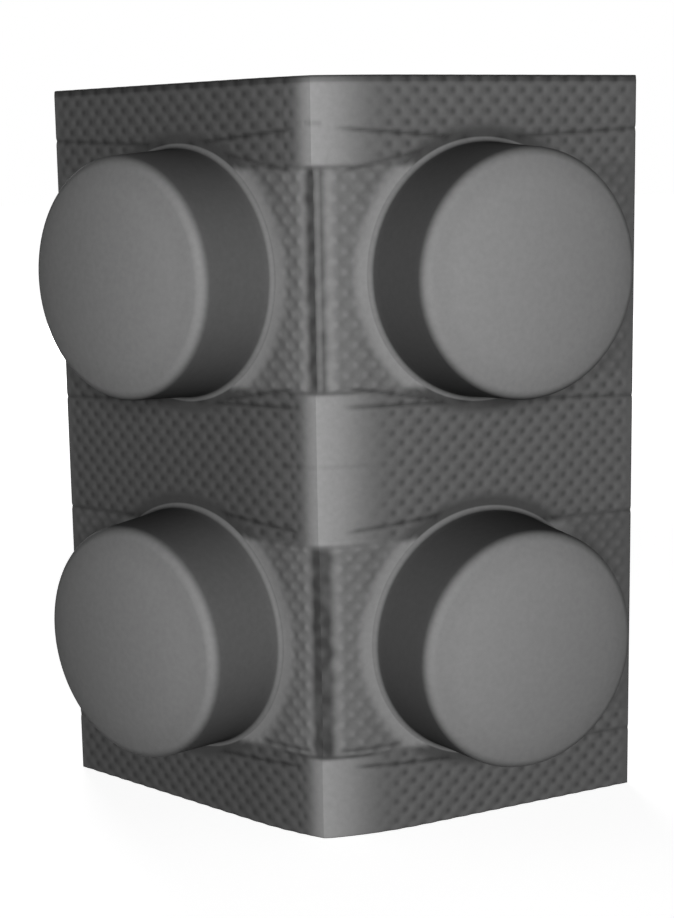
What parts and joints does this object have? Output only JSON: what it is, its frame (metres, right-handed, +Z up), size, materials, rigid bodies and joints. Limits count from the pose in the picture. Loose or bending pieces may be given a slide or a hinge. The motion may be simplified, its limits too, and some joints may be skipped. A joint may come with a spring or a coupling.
{
  "type": "pill blister pack",
  "caption": "Folded blister pack: tall round pockets with domed faces on a thin knurled heat-sealed card, bent outwards along its centre line and standing on its lower edges.",
  "frame": {"origin": "middle of the pack's length and depth, on the surface that its lower edges stand on", "axes": "+Z up along the fold line, +X from one panel to the other, +Y from the ridge and pockets towards the open side of the fold"},
  "size_m": [0.0324, 0.013, 0.04],
  "materials": {
    "film": "satin grey forming film, knurled in the seal areas and smooth on the pockets",
    "foil": "satin lidding foil with the seal's knurl, bare of print"
  },
  "bodies": {
    "root": {"blister_pack": "film"}
  },
  "joints": []
}
